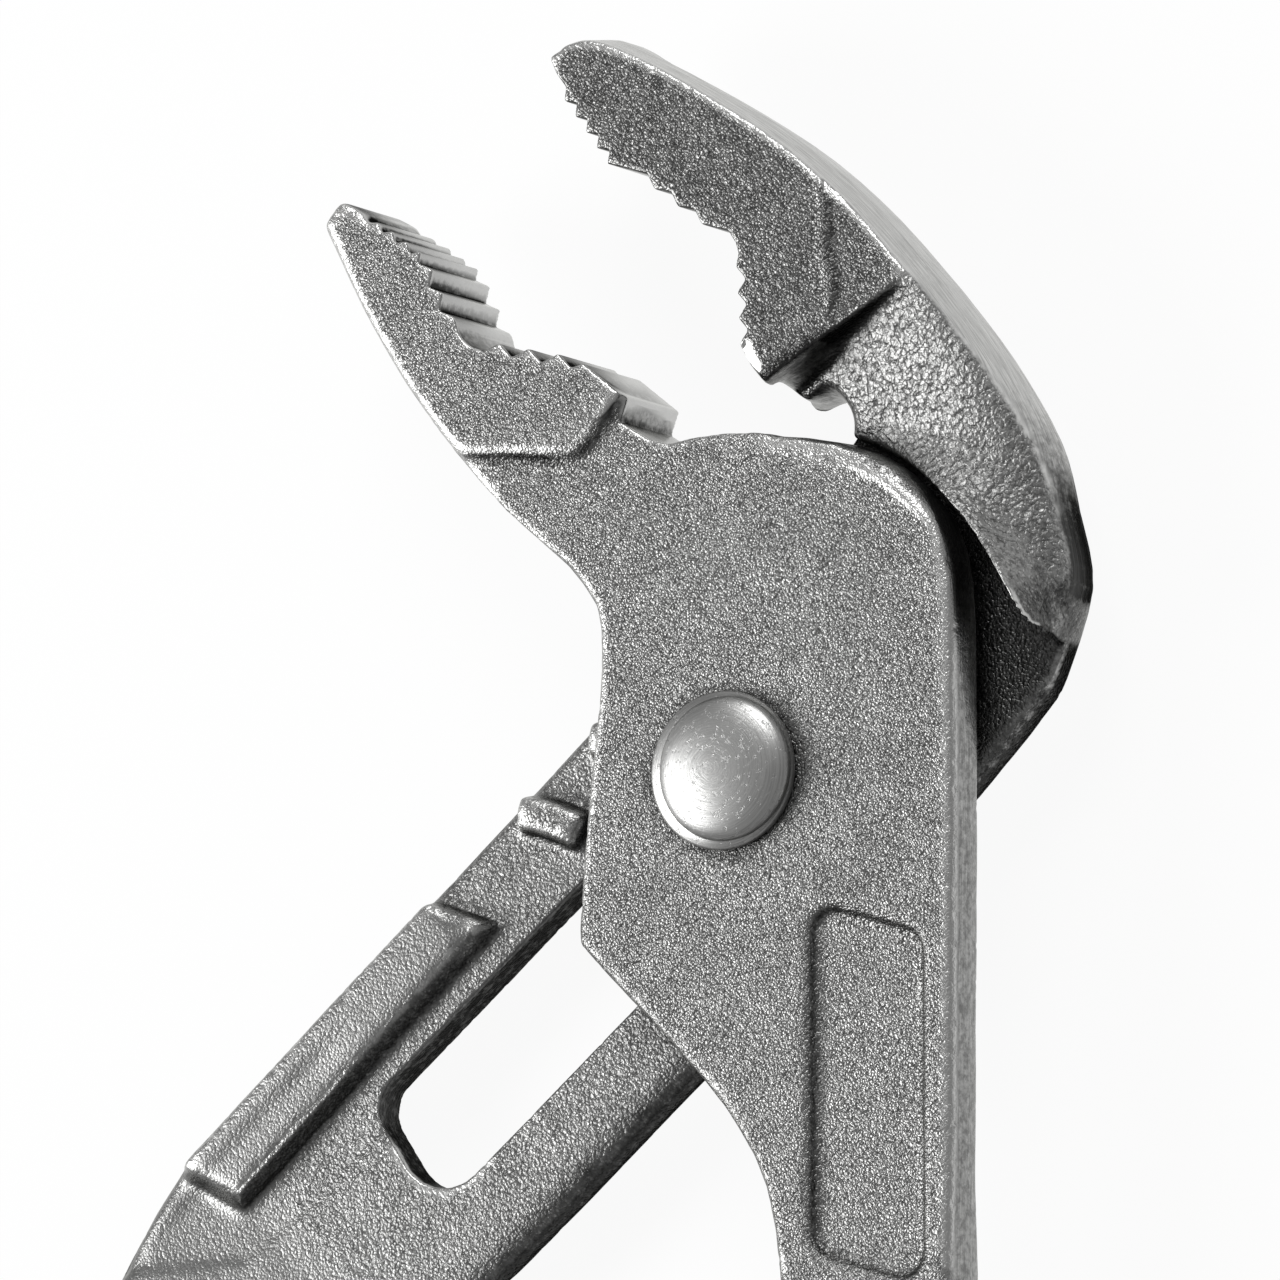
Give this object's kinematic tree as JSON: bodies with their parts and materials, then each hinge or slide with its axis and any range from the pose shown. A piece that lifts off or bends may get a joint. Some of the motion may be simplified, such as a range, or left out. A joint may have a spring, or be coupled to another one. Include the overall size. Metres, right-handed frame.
{
  "type": "water pump pliers",
  "caption": "Adjustable tongue-and-groove pliers of bare forged steel, with angled toothed jaws, a slotted bar with curved lugs, and a pivot bolt that slides along the slot.",
  "frame": {"origin": "pivot axis at the back face of the nut and the bolt's end, the face that lies on a surface", "axes": "+X along the slot towards the jaws, +Y towards the lugs, +Z along the pivot axis up to the bolt's head"},
  "size_m": [0.2472, 0.2165, 0.0203],
  "materials": {
    "lever_steel": "forged and blasted, with ground jaws and teeth",
    "bolt_steel": "polished"
  },
  "bodies": {
    "slotted_lever": {"slotted_lever": "lever_steel"},
    "pivot": {"pivot_bolt": "bolt_steel", "pivot_nut": "bolt_steel"},
    "plate_lever": {"plate_lever": "lever_steel"}
  },
  "joints": [
    {"name": "slot_slide", "type": "slide", "parent": "slotted_lever", "child": "pivot", "axis": [-1, 0, 0], "range_m": [0, 0.04]},
    {"name": "jaw_hinge", "type": "hinge", "parent": "pivot", "child": "plate_lever", "pos_m": [0, 0, 0.012], "axis": [0, 0, -1], "range_deg": [-30, 19.5]}
  ]
}
